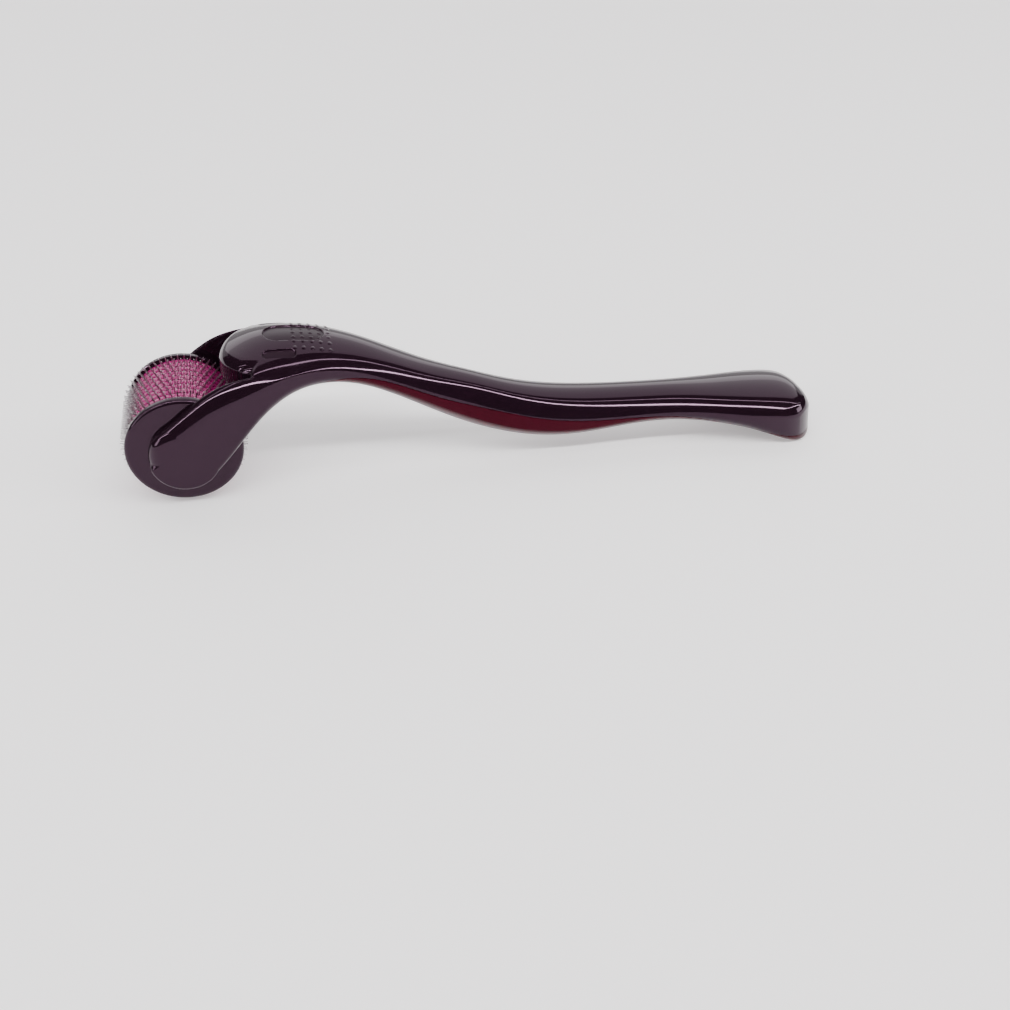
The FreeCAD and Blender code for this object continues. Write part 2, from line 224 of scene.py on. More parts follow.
# Natural acetal, moulded and left as it came: milky and waxy, with hardly a highlight.
CORE_ACETAL = MouldedPlastic("acetal_natural", "d8d4cc", "e6e2da", 0.4, 0.05, 1.48,
                             3.0, 0.2, 0.004, 0.002)
# Stainless sheet with ground teeth: grey glints broken up by fine lines, drawn coarser than real.
NEEDLE_STEEL = GroundSteel("stainless_steel_ground_needles", "a8a2a6", "c8c4c6", 0.28, 0.06, 0.5, 0.001)
# Centreless-ground stainless rod: the same steel with a tighter, brighter glint.
AXLE_STEEL = GroundSteel("stainless_steel_ground_axle", "b4b2b4", "c6c4c6", 0.22, 0.05, 0.5, 0.001)


@dataclass
class Studio:
    """Camera, lights, floor and surroundings."""

    axle_x: float
    camera_from_axle: tuple[float, float, float] = (12.373, -167.43, 111.83)
    camera_right: tuple[float, float, float] = (0.97811, -0.20592, 0.02986)
    camera_up: tuple[float, float, float] = (0.09733, 0.57964, 0.80904)
    lens_mm: float = 36.772
    shift: tuple[float, float] = (0.0487, -0.0016)
    sensor_mm: float = 36.0
    clip: tuple[float, float] = (0.005, 20.0)
    floor_half: float = 2.0
    floor_tones: tuple[str, str] = ("ece9ea", "f1eeef")
    floor_fibre_mm: float = 2.5
    floor_roughness: float = 0.7
    floor_sheen_level: float = 0.2
    floor_glow: float = 0.48
    world_tone: str = "e6dfe3"
    world_strength: float = 0.06

    def camera(self) -> None:
        """Place the camera."""
        data = bpy.data.cameras.new("camera")
        data.sensor_width = self.sensor_mm
        data.lens = self.lens_mm
        data.shift_x, data.shift_y = self.shift
        data.clip_start, data.clip_end = self.clip
        camera = bpy.data.objects.new("camera", data)
        right = Vector(self.camera_right).normalized()
        up = Vector(self.camera_up)
        up = (up - right * up.dot(right)).normalized()
        back = right.cross(up)
        turn = Matrix((right, up, back)).transposed()
        place = Vector((self.axle_x + self.camera_from_axle[0], *self.camera_from_axle[1:])) * MM
        camera.matrix_world = Matrix.Translation(place) @ turn.to_4x4()
        bpy.context.scene.collection.objects.link(camera)
        bpy.context.scene.camera = camera

    def panel(self, name: str, at: Sequence[float], look_at: Sequence[float], size: Sequence[float],
              radiance: float) -> None:
        """Place one rectangular light.

        Args:
            name: Name of the light.
            at: Its centre in metres.
            look_at: Point it faces.
            size: Width and height in metres.
            radiance: How bright it looks, where 1 is white.
        """
        data = bpy.data.lights.new(name, "AREA")
        data.shape = "RECTANGLE"
        data.size, data.size_y = size
        data.energy = radiance * math.pi * size[0] * size[1]
        lamp = bpy.data.objects.new(name, data)
        lamp.location = at
        lamp.rotation_mode = "QUATERNION"
        lamp.rotation_quaternion = (Vector(at) - Vector(look_at)).to_track_quat("Z", "Y")
        lamp.visible_camera = False
        bpy.context.scene.collection.objects.link(lamp)

    def floor(self) -> None:
        """Lay the plain pale floor."""
        shape = bmesh.new()
        half = self.floor_half
        corners = [shape.verts.new((x, y, 0.0)) for x, y in
                   ((-half, -half), (half, -half), (half, half), (-half, half))]
        shape.faces.new(corners)
        mesh = bpy.data.meshes.new("floor")
        shape.to_mesh(mesh)
        shape.free()
        # Matt pale paper: no gloss; its fibre is drawn coarser than real so that it shows at all.
        made = bpy.data.materials.new("paper_matt_pale")
        made.use_nodes = True
        tree = made.node_tree
        shader = tree.nodes["Principled BSDF"]
        place = add_node(tree, "ShaderNodeTexCoord")
        fibre = add_node(tree, "ShaderNodeTexNoise",
                         {"Scale": 1.0 / (self.floor_fibre_mm * MM), "Detail": 3.0},
                         {"Vector": place.outputs["Object"]})
        dark, light = (linear(tone) for tone in self.floor_tones)
        tone = add_node(tree, "ShaderNodeMix", {"data_type": "RGBA", MIX_FIRST: dark, MIX_SECOND: light},
                        {MIX_SHARE: fibre.outputs["Fac"]})
        tree.links.new(tone.outputs[MIX_COLOUR], shader.inputs["Base Color"])
        shader.inputs["Roughness"].default_value = self.floor_roughness
        tree.links.new(tone.outputs[MIX_COLOUR], shader.inputs["Emission Color"])
        shader.inputs["Emission Strength"].default_value = self.floor_glow
        shader.inputs["Specular IOR Level"].default_value = self.floor_sheen_level
        mesh.materials.append(made)
        floor = bpy.data.objects.new("floor", mesh)
        bpy.context.scene.collection.objects.link(floor)

    def world(self) -> None:
        """Give the surroundings their even, fairly dark grey."""
        world = bpy.data.worlds.new("studio")
        world.use_nodes = True
        ground = world.node_tree.nodes["Background"]
        ground.inputs["Color"].default_value = linear(self.world_tone)
        ground.inputs["Strength"].default_value = self.world_strength
        bpy.context.scene.world = world

    def build(self) -> None:
        """Set up the whole studio."""
        self.camera()
        self.floor()
        self.world()
        middle = (0.0, 0.0, 0.0)
        self.panel("softbox_back", (0.1, 0.78, 0.86), middle, (2.4, 1.5), 1.7)
        self.panel("softbox_horizon", (0.1, 1.3, 0.30), middle, (3.4, 0.9), 0.85)
        self.panel("softbox_left", (-1.3, -0.5, 0.30), middle, (0.4, 0.4), 7.0)
        self.panel("softbox_right", (1.3, -0.5, 0.30), middle, (0.4, 0.4), 7.0)
        self.panel("strip_high", (0.0, -0.24, 0.93), middle, (4.0, 0.025), 18.0)
        self.panel("strip_low", (0.0, -0.50, 0.80), middle, (4.0, 0.045), 55.0)


class CurveTable:
    """Natural cubic curves through rows of numbers, read back by row position."""

    def __init__(self, rows: Sequence[Sequence[float]], per_step: int = 400) -> None:
        """Fit the curves.

        Args:
            rows: One row of values for each station.
            per_step: Samples kept between two stations.
        """
        values = np.array(rows, float)
        count = len(values)
        band = np.zeros((count, count))
        pull = np.zeros_like(values)
        band[0, 0] = band[-1, -1] = 1.0
        for row in range(1, count - 1):
            band[row, row - 1:row + 2] = (1.0, 4.0, 1.0)
            pull[row] = 6.0 * (values[row + 1] - 2.0 * values[row] + values[row - 1])
        bend = np.linalg.solve(band, pull)
        self.at = np.linspace(0.0, count - 1.0, (count - 1) * per_step + 1)
        step = np.minimum(self.at.astype(int), count - 2)
        after = (self.at - step)[:, None]
        before = 1.0 - after
        self.samples = (before * values[step] + after * values[step + 1]
                        + (before ** 3 - before) * bend[step] / 6.0
                        + (after ** 3 - after) * bend[step + 1] / 6.0)

    def read(self, where: np.ndarray, column: int) -> np.ndarray:
        """Read one column at row positions."""
        return np.interp(where, self.at, self.samples[:, column])


def round_max(first: np.ndarray, second: np.ndarray, radius: float | np.ndarray) -> np.ndarray:
    """Meeting of two solids given by signed distances, with its outer edge rounded.

    Args:
        first: Distances to the first solid.
        second: Distances to the second solid.
        radius: Radius of the rounded edge.

    Returns:
        Distances to what both solids share.
    """
    corner = np.hypot(np.maximum(first + radius, 0.0), np.maximum(second + radius, 0.0))
    return np.minimum(np.maximum(first, second), -radius) + corner


def quarter(across: np.ndarray, along: np.ndarray, run: np.ndarray, rise: np.ndarray) -> np.ndarray:
    """Distance to a corner that turns through a quarter of an ellipse.

    Args:
        across: Position across the corner, 0 where the turn starts and 1 at the side.
        along: Position up the corner, 0 where the turn ends and 1 at the top.
        run: Width of the corner.
        rise: Height of the corner.

    Returns:
        Signed distance, negative inside.
    """
    out = np.maximum(across, 0.0)
    up = np.maximum(along, 0.0)
    reach = np.hypot(out, up)
    slope = np.hypot(out / run, up / rise)
    return (reach - 1.0) * np.maximum(reach, 1e-4) / np.maximum(slope, 1e-4)


def surface_mesh(values: np.ndarray, xs: np.ndarray, ys: np.ndarray, zs: np.ndarray) -> tuple:
    """Draw the zero surface of a field on a rectangular grid.

    Args:
        values: Field at each grid point, negative inside.
        xs: Grid positions along X.
        ys: Grid positions along Y.
        zs: Grid positions along Z.

    Returns:
        Vertex positions and four-sided faces that look outwards.
    """
    inside = values < 0.0
    total = np.zeros(tuple(n - 1 for n in values.shape), np.int8)
    for di in (0, 1):
        for dj in (0, 1):
            for dk in (0, 1):
                total += inside[di:di + total.shape[0], dj:dj + total.shape[1], dk:dk + total.shape[2]]
    cells = np.argwhere((total > 0) & (total < 8))
    ci, cj, ck = cells.T
    number = np.full(total.shape, -1, np.int64)
    number[ci, cj, ck] = np.arange(len(cells))
    summed = np.zeros((len(cells), 3))
    crossings = np.zeros(len(cells))
    corners = [(a, b, c) for a in (0, 1) for b in (0, 1) for c in (0, 1)]
    for start in corners:
        for axis in range(3):
            if start[axis] == 1:
                continue
            end = tuple(v + (1 if n == axis else 0) for n, v in enumerate(start))
            first = values[ci + start[0], cj + start[1], ck + start[2]]
            second = values[ci + end[0], cj + end[1], ck + end[2]]
            crossed = (first < 0.0) != (second < 0.0)
            share = np.where(crossed, first / np.where(crossed, first - second, 1.0), 0.0)
            low = np.stack([xs[ci + start[0]], ys[cj + start[1]], zs[ck + start[2]]], 1)
            high = np.stack([xs[ci + end[0]], ys[cj + end[1]], zs[ck + end[2]]], 1)
            summed += np.where(crossed[:, None], low + share[:, None] * (high - low), 0.0)
            crossings += crossed
    places = summed / crossings[:, None]
    faces = []
    for axis in range(3):
        lead = [slice(None)] * 3
        follow = [slice(None)] * 3
        lead[axis], follow[axis] = slice(0, -1), slice(1, None)
        here, there = inside[tuple(lead)], inside[tuple(follow)]
        second, third = (axis + 1) % 3, (axis + 2) % 3
        for outward in (True, False):
            found = np.argwhere((here & ~there) if outward else (~here & there))
            ring = []
            for back_second, back_third in ((1, 1), (0, 1), (0, 0), (1, 0)):
                cell = found.copy()
                cell[:, second] -= back_second
                cell[:, third] -= back_third
                ring.append(number[cell[:, 0], cell[:, 1], cell[:, 2]])
            quads = np.stack(ring, 1)
            faces.append(quads if outward else quads[:, ::-1])
    return places, np.concatenate(faces)


@dataclass
class Handle:
    """Moulded handle: fork, bridge with its thumb grip, grip and flared tail, in two shells.

    Lengths are in millimetres: x from the axle, y across, z up from the resting surface.
    """

    axle_x: float
    axle_z: float = 11.1
    # Stations along the handle: foot x, foot z, crown x, crown z, half width, drop and run of the upper
    # corner, rise of the crown, belly of the underside, radius of the lower corner.
    sections: tuple = (
        (4.23, 6.57, -4.23, 15.63, 12.05, 2.6, 1.9, 0.05, 0.03, 0.9),
        (7.4, 10.0, 0.6, 19.8, 12.05, 4.1, 2.1, 0.40, 0.03, 1.0),
        (10.4, 13.6, 4.9, 24.0, 11.95, 4.7, 2.3, 1.20, 0.05, 1.2),
        (13.3, 16.7, 9.3, 26.7, 11.6, 4.9, 2.6, 1.80, 0.10, 1.5),
        (16.3, 18.8, 14.1, 28.3, 10.8, 4.7, 2.9, 1.90, 0.25, 1.9),
        (20.3, 20.3, 19.4, 28.7, 9.5, 4.0, 3.0, 1.60, 0.40, 2.2),
        (25.3, 20.6, 25.5, 28.0, 8.0, 3.6, 2.9, 1.10, 0.45, 2.2),
        (31.0, 19.3, 32.4, 26.0, 6.7, 3.3, 2.8, 0.80, 0.45, 2.1),
        (37.0, 16.5, 39.2, 23.0, 5.9, 3.3, 2.7, 0.60, 0.45, 2.1),
        (43.5, 12.7, 46.2, 20.0, 5.4, 3.6, 2.6, 0.55, 0.45, 2.3),
        (51.0, 8.6, 53.8, 17.4, 5.2, 4.2, 2.6, 0.55, 0.45, 2.5),
        (59.0, 5.5, 61.0, 15.0, 5.4, 4.4, 2.7, 0.55, 0.45, 2.6),
        (67.0, 3.9, 68.2, 13.3, 5.75, 4.3, 2.9, 0.55, 0.45, 2.6),
        (76.0, 3.8, 76.4, 12.3, 5.9, 4.0, 3.0, 0.55, 0.45, 2.5),
        (86.0, 4.9, 86.0, 11.8, 5.8, 3.5, 2.9, 0.55, 0.45, 2.3),
        (95.5, 5.1, 95.5, 11.5, 6.0, 3.3, 2.9, 0.55, 0.45, 2.2),
        (104.0, 4.2, 104.0, 11.2, 7.1, 3.6, 3.1, 0.65, 0.45, 2.2),
        (111.0, 2.7, 111.0, 11.1, 8.3, 4.1, 3.3, 0.85, 0.45, 2.2),
        (117.0, 0.9, 116.6, 10.9, 9.0, 4.4, 3.6, 0.95, 0.30, 2.0),
        (121.6, -0.15, 120.6, 10.2, 9.05, 4.4, 3.7, 0.95, 0.10, 1.8),
        (124.4, -0.35, 123.3, 8.4, 9.05, 4.2, 3.8, 0.90, 0.10, 1.8),
        (126.8, -0.5, 125.6, 5.9, 9.05, 3.7, 3.8, 0.80, 0.10, 1.6),
    )
    # Seam between the shells: x and z.
    parting: tuple = (
        (13.0, 15.6), (17.0, 18.9), (21.0, 20.9), (25.0, 21.8), (29.0, 22.1), (34.0, 21.2),
        (39.0, 19.2), (44.0, 16.8), (50.0, 14.3), (58.0, 11.7), (64.0, 10.0), (70.0, 8.8),
        (77.0, 8.1), (84.0, 7.9), (92.0, 7.6), (99.0, 6.6), (106.0, 4.9), (112.0, 3.4),
        (117.0, 2.3), (122.0, 1.7), (130.0, 1.5),
    )
    arm_outer: float = 12.05
    arm_inner: float = 9.4
    lobe_radius: float = 6.2
    lobe_round: float = 0.5
    lobe_inner_round: float = 0.25
    shoulder_end: float = 186.0
    shoulder_start: float = 60.0
    shoulder_fades: tuple[float, float] = (30.0, 12.0)
    shoulder_drop: float = 2.5
    shoulder_run: float = 1.9
    pocket_radius: float = 12.9
    tongue_radius: float = 9.0
    tongue_nose: float = 7.2
    window_end: float = 12.6
    arm_edge_round: float = 0.45
    nose_edge_round: float = 2.0
    nose_fade_x: tuple[float, float] = (4.0, 3.0)
    nose_fade_y: float = 2.5
    tail_end: float = 126.2
    tail_radius: float = 9.1
    tail_lean: float = 0.2
    tail_start: float = 100.0
    tail_round: float = 1.2
    foot_round: float = 0.5
    pad: tuple = (15.2, 26.2, 0.0, 6.0)
    side_pad: tuple = (14.8, 20.8, 5.9, 1.9)
    pad_depth: float = 0.34
    pad_edge: float = 0.32
    dot_start: float = 20.6
    dot_pitch: tuple = (1.55, 1.6)
    dot_counts: tuple = (5, 7)
    dot_radius: float = 0.42
    dot_height: float = 0.11
    grip_zone: tuple[float, float, float] = (13.0, 28.0, 25.0)
    seam_depth: float = 0.10
    seam_snap: float = 0.03
    seam_lean: float = 0.9
    # How the form is sampled: a start, then pairs of spacing and end, closest over the thumb grip.
    grid_x: tuple = (-7.0, 0.25, 14.0, 0.14, 28.4, 0.4, 116.0, 0.22, 127.0)
    grid_y: tuple = (-12.6, 0.2, -7.4, 0.16, 7.4, 0.2, 12.6)
    grid_z: tuple = (-0.53, 0.25, 26.2, 0.15, 29.5)
    slab: int = 24
    halvings: int = 26
    front_share: float = 1e-4
    settling_steps: int = 3
    settling_reach: float = 0.12
    probe: float = 0.004
    least_slope: float = 0.2
    cuts: CurveTable = field(init=False)
    seam_x: np.ndarray = field(init=False)
    seam_z: np.ndarray = field(init=False)

    def __post_init__(self) -> None:
        """Fit the curves through the stations."""
        self.cuts = CurveTable(self.sections)
        seam = CurveTable(self.parting)
        self.seam_x, self.seam_z = seam.samples[:, 0], seam.samples[:, 1]

    def body(self, x: np.ndarray, y: np.ndarray, z: np.ndarray) -> np.ndarray:
        """Signed distance to the long body, before the fork is opened and the tail is trimmed.

        Args:
            x: Distances from the axle, of a shape that broadcasts with y and z.
            y: Distances across.
            z: Heights.

        Returns:
            Distances, negative inside.
        """
        shape = np.broadcast(x, z).shape
        low, high = np.zeros(shape), np.full(shape, len(self.sections) - 1.0)
        for _ in range(self.halvings):
            middle = (low + high) / 2.0
            foot_x, foot_z = self.cuts.read(middle, 0), self.cuts.read(middle, 1)
            ahead = ((self.cuts.read(middle, 2) - foot_x) * (z - foot_z)
                     - (self.cuts.read(middle, 3) - foot_z) * (x - foot_x))
            low, high = np.where(ahead < 0.0, middle, low), np.where(ahead < 0.0, high, middle)
        where = (low + high) / 2.0
        foot_x, foot_z, crown_x, crown_z, half, drop, run, rise, belly, corner = (
            self.cuts.read(where, column) for column in range(10))
        height = np.hypot(crown_x - foot_x, crown_z - foot_z)
        lean_x, lean_z = (crown_x - foot_x) / height, (crown_z - foot_z) / height
        up = lean_x * (x - foot_x) + lean_z * (z - foot_z)
        front = np.where(where < self.front_share, lean_x * (z - foot_z) - lean_z * (x - foot_x), -1.0)
        across = np.abs(y)
        side_top = height - drop
        top = height - rise * (across / (half - run)) ** 2
        above = quarter((across - half + run) / run, (up - side_top) / (top - side_top), run, top - side_top)
        bottom = belly * (across / (half - corner)) ** 2
        side_foot = belly + corner
        below = quarter((across - half + corner) / corner, (side_foot - up) / (side_foot - bottom),
                        corner, side_foot - bottom)
        return np.maximum(np.maximum(above, below), front)

    def window(self, x: np.ndarray, y: np.ndarray, z: np.ndarray) -> np.ndarray:
        """Signed distance to what the fork leaves open: the head's pocket and the window above.

        Args:
            x: Distances from the axle.
            y: Distances across.
            z: Heights.

        Returns:
            Distances, negative in the opening.
        """
        across = np.abs(y) - self.arm_inner
        around = np.hypot(x, z - self.axle_z)
        nose = self.tongue_radius - np.hypot(x - self.tongue_nose - self.tongue_radius, y)
        above = np.maximum(np.maximum(x - self.window_end, across), np.maximum(self.axle_z - z, nose))
        pocket = np.maximum(around - self.pocket_radius, across)
        return np.minimum(np.minimum(above, pocket), np.maximum(x, across))

    def pad_relief(self, x: np.ndarray, y: np.ndarray) -> np.ndarray:
        """Depth of the sunken pads.

        Args:
            x: Distances from the axle.
            y: Distances across.

        Returns:
            Depths in millimetres.
        """
        relief = np.zeros(np.broadcast(x, y).shape)
        for start, end, middle, width in (self.pad, self.side_pad,
                                          self.side_pad[:2] + (-self.side_pad[2], self.side_pad[3])):
            radius = width / 2.0
            past = np.maximum(np.abs(x - (start + end) / 2.0) - ((end - start) / 2.0 - radius), 0.0)
            inward = np.clip((radius - np.hypot(past, y - middle)) / self.pad_edge, 0.0, 1.0)
            relief += self.pad_depth * inward * inward * (3.0 - 2.0 * inward)
        return relief

    def grip_relief(self, x: np.ndarray, y: np.ndarray) -> np.ndarray:
        """Height that the thumb grip takes from the top surface.

        Args:
            x: Distances from the axle.
            y: Distances across.

        Returns:
            Heights in millimetres, below zero on the dots.
        """
        columns, rows = self.dot_counts
        column = np.clip(np.round((x - self.dot_start) / self.dot_pitch[0]), 0, columns - 1)
        row = np.clip(np.round(y / self.dot_pitch[1]), -(rows - 1) / 2, (rows - 1) / 2)
        away = np.hypot(x - self.dot_start - column * self.dot_pitch[0], y - row * self.dot_pitch[1])
        dome = np.clip(1.0 - (away / self.dot_radius) ** 2, 0.0, 1.0)
        return self.pad_relief(x, y) - self.dot_height * dome

    def in_grip(self, x: np.ndarray, z: np.ndarray) -> np.ndarray:
        """Return where the thumb grip may lie."""
        start, end, lowest = self.grip_zone
        return (x > start) & (x < end) & (z > lowest)

    def in_pads(self, places: np.ndarray) -> np.ndarray:
        """Return which places lie in the sunken pads."""
        x, y, z = places.T
        return self.in_grip(x, z) & (self.pad_relief(x, y) > self.pad_depth / 2.0)

    def distance(self, x: np.ndarray, y: np.ndarray, z: np.ndarray) -> np.ndarray:
        """Signed distance to the finished outer form of the handle.

        Args:
            x: Distances from the axle, of a shape that broadcasts with y and z.
            y: Distances across.
            z: Heights.

        Returns:
            Distances, negative inside.
        """
        form = self.body(x, y, z)
        form = form + np.where(self.in_grip(x, z), self.grip_relief(x, y), 0.0)
        slope = math.hypot(1.0, self.tail_lean)
        centre = self.tail_end - self.tail_radius * slope - self.tail_lean * z
        trim = np.hypot(np.maximum(x - centre, 0.0) / slope, y) - self.tail_radius
        trim = np.where(x < self.tail_start, -self.tail_radius, trim)
        form = round_max(form, trim, self.tail_round)
        form = round_max(form, -z + 0.0 * x, self.foot_round)
        nose_start, nose_run = self.nose_fade_x
        nearness = (np.clip((self.arm_inner - np.abs(y)) / self.nose_fade_y, 0.0, 1.0)
                    * np.clip((x - nose_start) / nose_run, 0.0, 1.0))
        radius = self.arm_edge_round + (self.nose_edge_round - self.arm_edge_round) * nearness
        form = round_max(form, -self.window(x, y, z), radius)
        angle = np.degrees(np.arctan2(z - self.axle_z, x + 0.0 * z))
        turned = np.where(angle < -90.0, angle + 360.0, angle)
        fade_in, fade_out = self.shoulder_fades
        share = np.clip((self.shoulder_end + fade_out - turned) / fade_out, 0.0, 1.0)
        share = share * np.clip((turned - self.shoulder_start) / fade_in, 0.0, 1.0)
        share = share * share * (3.0 - 2.0 * share)
        drop = self.lobe_round + (self.shoulder_drop - self.lobe_round) * share
        run = self.lobe_round + (self.shoulder_run - self.lobe_round) * share
        out = np.hypot(x, z - self.axle_z) - self.lobe_radius
        lobe = quarter((np.abs(y) - self.arm_outer + run) / run, (out + drop) / drop, run, drop)
        lobe = round_max(lobe, self.arm_inner - np.abs(y), self.lobe_inner_round)
        return np.minimum(form, lobe)

    @staticmethod
    def runs(stops: Sequence[float]) -> np.ndarray:
        """Join even runs of positions.

        Args:
            stops: A start, then pairs of spacing and end.

        Returns:
            All positions in order.
        """
        parts = [np.array([stops[0]])]
        for spacing, end in zip(stops[1::2], stops[2::2]):
            start = parts[-1][-1]
            count = max(1, int(round((end - start) / spacing)))
            parts.append(np.linspace(start, end, count + 1)[1:])
        return np.concatenate(parts)

    def outline(self) -> tuple[np.ndarray, np.ndarray, np.ndarray]:
        """Draw the handle's whole outer surface.

        Returns:
            Its vertices, faces and normals.
        """
        xs, ys, zs = (self.runs(stops) for stops in (self.grid_x, self.grid_y, self.grid_z))
        values = np.empty((len(xs), len(ys), len(zs)), np.float32)
        for start in range(0, len(xs), self.slab):
            part = xs[start:start + self.slab]
            values[start:start + self.slab] = self.distance(
                part[:, None, None], ys[None, :, None], zs[None, None, :])
        places, faces = surface_mesh(values, xs, ys, zs)
        for _ in range(self.settling_steps):
            here, normals = self.slope(places)
            steps = np.clip(here, -self.settling_reach, self.settling_reach)
            places = places - normals * steps[:, None]
        _, normals = self.slope(places)
        return places, faces, normals

    def slope(self, places: np.ndarray) -> tuple[np.ndarray, np.ndarray]:
        """Measure the form around places.

        Args:
            places: Positions, one row each.

        Returns:
            Distance at each place and the outward direction there.
        """
        x, y, z = places.T
        side, y = np.sign(y), np.abs(y)
        here = self.distance(x, y, z)
        gradient = np.stack([self.distance(x + self.probe, y, z) - here,
                             (self.distance(x, y + self.probe, z) - here) * side,
                             self.distance(x, y, z + self.probe) - here], 1) / self.probe
        size = np.maximum(np.linalg.norm(gradient, axis=1), self.least_slope)
        return here / size, gradient / size[:, None]

    def seam_level(self, places: np.ndarray) -> np.ndarray:
        """Height of each place above the seam, or far above where the seam has not begun."""
        level = places[:, 2] - np.interp(places[:, 0], self.seam_x, self.seam_z, left=-100.0)
        return np.where(np.abs(level) < self.seam_snap, 0.0, level)

    def shells(self) -> dict[str, tuple[np.ndarray, list, np.ndarray]]:
        """Cut the outline along the seam into its two shells.

        Returns:
            Vertices, faces and normals of each shell, by piece name.
        """
        places, faces, normals = self.outline()
        level = self.seam_level(places)
        points, directions = [tuple(p) for p in places], [tuple(n) for n in normals]
        crossings: dict[tuple[int, int], int] = {}

        def crossing(first: int, second: int) -> int:
            """Find the seam's point on one edge, and make it when first asked for.

            Args:
                first: Number of one end of the edge.
                second: Number of the other end.

            Returns:
                Number of the point.
            """
            key = (min(first, second), max(first, second))
            if key not in crossings:
                share = level[first] / (level[first] - level[second])
                crossings[key] = len(points)
                points.append(tuple(places[first] + share * (places[second] - places[first])))
                directions.append(tuple(normals[first] + share * (normals[second] - normals[first])))
            return crossings[key]

        signs = level[faces]
        above, below = (signs >= 0.0).all(1), (signs <= 0.0).all(1)
        upper = [tuple(int(v) for v in face) for face in faces[above]]
        lower = [tuple(int(v) for v in face) for face in faces[below & ~above]]
        for face in faces[~above & ~below]:
            over, under = [], []
            for here, after in zip(face, np.roll(face, -1)):
                if level[here] >= 0.0:
                    over.append(int(here))
                if level[here] <= 0.0:
                    under.append(int(here))
                if level[here] * level[after] < 0.0:
                    middle = crossing(int(here), int(after))
                    over.append(middle)
                    under.append(middle)
            for side, corners in ((upper, over), (lower, under)):
                if len(corners) > 2:
                    side.append(tuple(corners))
        on_seam = np.concatenate([np.flatnonzero(level == 0.0), np.arange(len(places), len(points))])
        every_place, every_normal = np.array(points), np.array(directions)
        made = {}
        for name, own, lean in (("handle_upper", upper, -1.0), ("handle_lower", lower, 1.0)):
            shifted, turned = every_place.copy(), every_normal.copy()
            shifted[on_seam] -= every_normal[on_seam] * self.seam_depth
            turned[on_seam, 2] += lean * self.seam_lean
            turned /= np.linalg.norm(turned, axis=1)[:, None]
            used = np.unique(np.concatenate([np.array(face) for face in own]))
            place_of = np.full(len(shifted), -1)
            place_of[used] = np.arange(len(used))
            made[name] = (shifted[used], [tuple(place_of[list(face)]) for face in own], turned[used])
        return made

    @staticmethod
    def close_seam(shape: bmesh.types.BMesh, rim: list[bmesh.types.BMEdge]) -> None:
        """Close a shell with faces straight across it, from each edge of its rim to the mirrored one.

        Args:
            shape: Shell that is open along its seam.
            rim: Edges of the opening.
        """
        corners = list(dict.fromkeys(vert for edge in rim for vert in edge.verts))
        tree = KDTree(len(corners))
        for index, vert in enumerate(corners):
            tree.insert(vert.co, index)
        tree.balance()
        for edge in rim:
            if edge.verts[0].co.y + edge.verts[1].co.y > 0.0:
                continue
            across = [corners[tree.find((vert.co.x, -vert.co.y, vert.co.z))[1]] for vert in edge.verts]
            ring = []
            for vert in (edge.verts[0], edge.verts[1], across[1], across[0]):
                if vert not in ring:
                    ring.append(vert)
            if len(ring) > 2 and shape.faces.get(ring) is None:
                shape.faces.new(ring)

    def build(self) -> list[bpy.types.Object]:
        """Make the two shells, close their seams, and dress them.

        Returns:
            The two pieces.
        """
        pieces = []
        finishes = {"handle_upper": (UPPER_ABS, "handle_upper_shell", "upper_plastic"),
                    "handle_lower": (LOWER_ABS, "handle_lower_shell", "lower_plastic")}
        for name, (places, faces, normals) in self.shells().items():
            finish, node, slot_name = finishes[name]
            world = places * MM + np.array((self.axle_x * MM, 0.0, 0.0))
            mesh = bpy.data.meshes.new(name)
            mesh.from_pydata(world.tolist(), [], faces)
            shape = bmesh.new()
            shape.from_mesh(mesh)
            rim = [edge for edge in shape.edges if edge.is_boundary]
            self.close_seam(shape, rim)
            bmesh.ops.recalc_face_normals(shape, faces=shape.faces[:])
            for face in shape.faces:
                face.smooth = True
            LOG.info("%s: %d open edges closed, %d left", name, len(rim),
                     sum(edge.is_boundary for edge in shape.edges))
            shape.to_mesh(mesh)
            shape.free()
            mesh.normals_split_custom_set_from_vertices(normals.tolist())
            mesh.materials.append(finish.material())
            if name == "handle_upper":
                mesh.materials.append(PAD_ABS.material())
                sunken = self.in_pads(places)
                for face in mesh.polygons:
                    face.material_index = int(all(sunken[corner] for corner in face.vertices))
            piece = bpy.data.objects.new(name, mesh)
            bpy.context.scene.collection.objects.link(piece)
            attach(piece, "handle")
            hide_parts(node)
            pieces.append(piece)
        return pieces


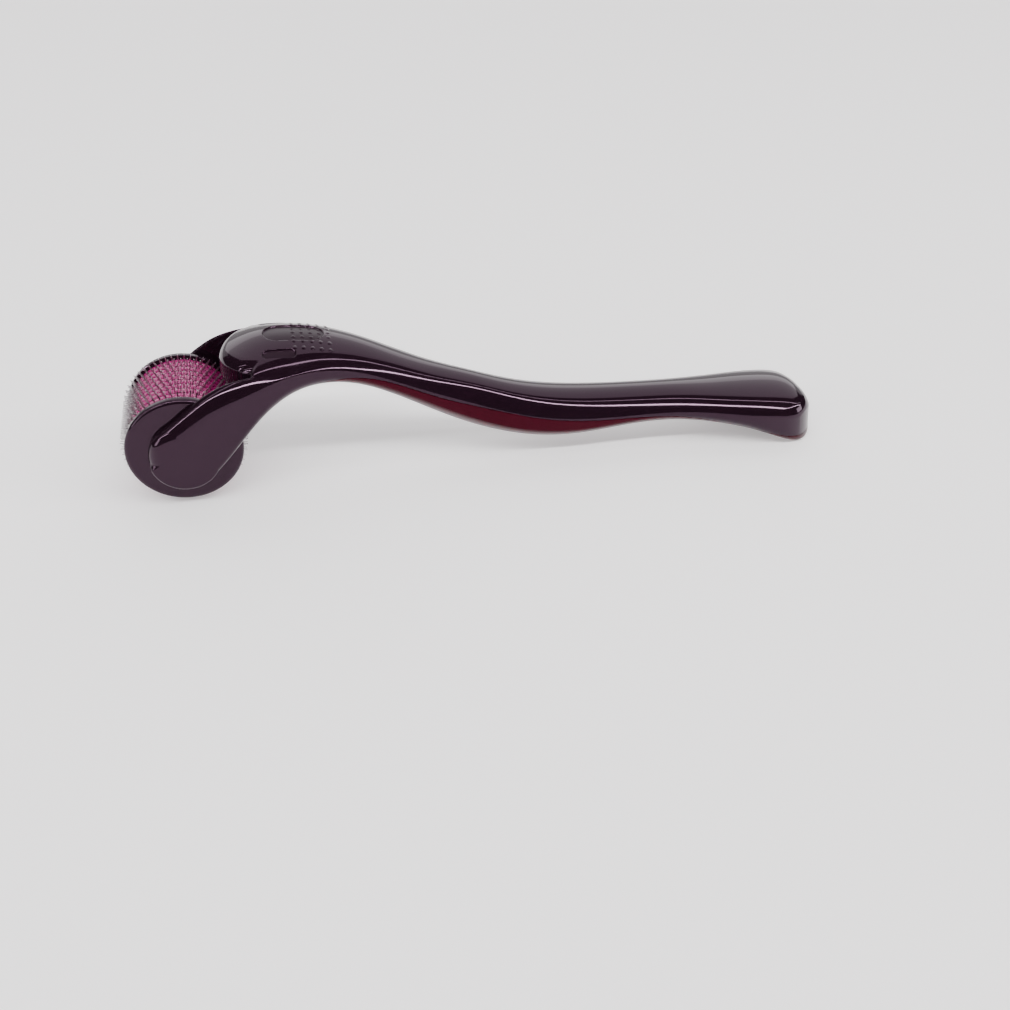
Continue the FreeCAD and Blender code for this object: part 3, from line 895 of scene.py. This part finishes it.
@dataclass
class Flange:
    """Round end cap of the head, turned through a profile with a softly rounded face edge.

    Lengths are in millimetres; the faces come from the node it stands for.
    """

    axle_x: float
    axle_z: float = 11.1
    radius: float = 10.3
    round_across: float = 0.9
    round_along: float = 0.75
    bore: float = 1.05
    boss_radius: float = 2.6
    boss_height: float = 0.2
    inner_chamfer: float = 0.1
    turns: int = 192
    round_steps: int = 10
    crease_deg: float = 32.0

    def profile(self, inner: float, outer: float) -> list[tuple[float, float]]:
        """Radius and distance out from the middle of the head, from the bore round to the bore.

        Args:
            inner: Where the inner face lies.
            outer: Where the outer face lies.

        Returns:
            Points of the closed profile.
        """
        chamfer = self.inner_chamfer
        points = [(self.bore, inner), (self.radius - chamfer, inner), (self.radius, inner + chamfer)]
        for step in range(self.round_steps + 1):
            angle = math.pi / 2.0 * step / self.round_steps
            points.append((self.radius - self.round_across * (1.0 - math.cos(angle)),
                           outer - self.round_along * (1.0 - math.sin(angle))))
        rise = self.boss_height
        points += [(self.boss_radius + rise / 2.0, outer), (self.boss_radius, outer + rise / 4.0),
                   (self.boss_radius - rise / 4.0, outer + rise), (self.bore, outer + rise)]
        return points

    def build(self, name: str, node: str, end: End) -> bpy.types.Object:
        """Turn one flange.

        Args:
            name: Name of the piece.
            node: Node it stands for.
            end: End of the head that it closes.

        Returns:
            The piece.
        """
        side = end.value
        inner, outer = sorted(side * corner.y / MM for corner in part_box(node))
        outer -= self.boss_height
        shape = bmesh.new()
        rings = []
        for radius, out in self.profile(inner, outer):
            ring = []
            for turn in range(self.turns):
                angle = 2.0 * math.pi * turn / self.turns
                ring.append(shape.verts.new(((self.axle_x + radius * math.cos(angle)) * MM, side * out * MM,
                                             (self.axle_z + radius * math.sin(angle)) * MM)))
            rings.append(ring)
        for first, second in zip(rings, rings[1:] + rings[:1]):
            for turn in range(self.turns):
                after = (turn + 1) % self.turns
                shape.faces.new((first[turn], first[after], second[after], second[turn])).smooth = True
        bmesh.ops.recalc_face_normals(shape, faces=shape.faces[:])
        for edge in shape.edges:
            edge.smooth = edge.calc_face_angle(0.0) < math.radians(self.crease_deg)
        mesh = bpy.data.meshes.new(name)
        shape.to_mesh(mesh)
        shape.free()
        mesh.materials.append(FLANGE_ABS.material())
        piece = bpy.data.objects.new(name, mesh)
        bpy.context.scene.collection.objects.link(piece)
        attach(piece, "roller_head")
        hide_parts(node)
        return piece


def dress(names: Iterable[str], finish: MouldedPlastic | GroundSteel) -> None:
    """Give carried-over nodes a material.

    Args:
        names: Node names.
        finish: Finish that all of them share.
    """
    material = finish.material()
    for name in names:
        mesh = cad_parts[name].data
        mesh.materials.clear()
        mesh.materials.append(material)


@dataclass
class RollerHead:
    """The part that turns: core, needle discs, spacers and the two flanges."""

    axle_x: float
    spacers: str = "spacer_ring"
    discs: str = "needle_disc"
    core: str = "roller_core"
    flanges: dict[End, tuple[str, str]] = field(default_factory=lambda: {
        End.NEAR: ("flange_near", "end_flange_right"),
        End.FAR: ("flange_far", "end_flange_left")})

    def build(self) -> list[bpy.types.Object]:
        """Turn the flanges and dress the carried-over nodes.

        Returns:
            The two flanges.
        """
        nodes = sorted(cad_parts)
        dress([node for node in nodes if node.startswith(self.spacers)], SPACER_PC)
        dress([node for node in nodes if node.startswith(self.discs)], NEEDLE_STEEL)
        dress([self.core], CORE_ACETAL)
        flange = Flange(self.axle_x)
        return [flange.build(name, node, end) for end, (name, node) in self.flanges.items()]


@dataclass
class Axle:
    """The fixed steel pin across the fork."""

    node: str = "axle_pin"

    def middle(self) -> float:
        """Return the X of its axis in millimetres."""
        low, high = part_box(self.node)
        return (low.x + high.x) / 2.0 / MM

    def build(self) -> None:
        """Dress the carried-over pin."""
        dress([self.node], AXLE_STEEL)


def main() -> None:
    """Build every piece in order and report it."""
    logging.basicConfig(level=logging.INFO)
    axle = Axle()
    axle_x = axle.middle()
    Studio(axle_x).build()
    LOG.info("studio built")
    for piece in Handle(axle_x).build() + RollerHead(axle_x).build():
        LOG.info("%s: %d faces", piece.name, len(piece.data.polygons))
    axle.build()
    LOG.info("axle dressed")


if __name__ == "__main__":
    main()
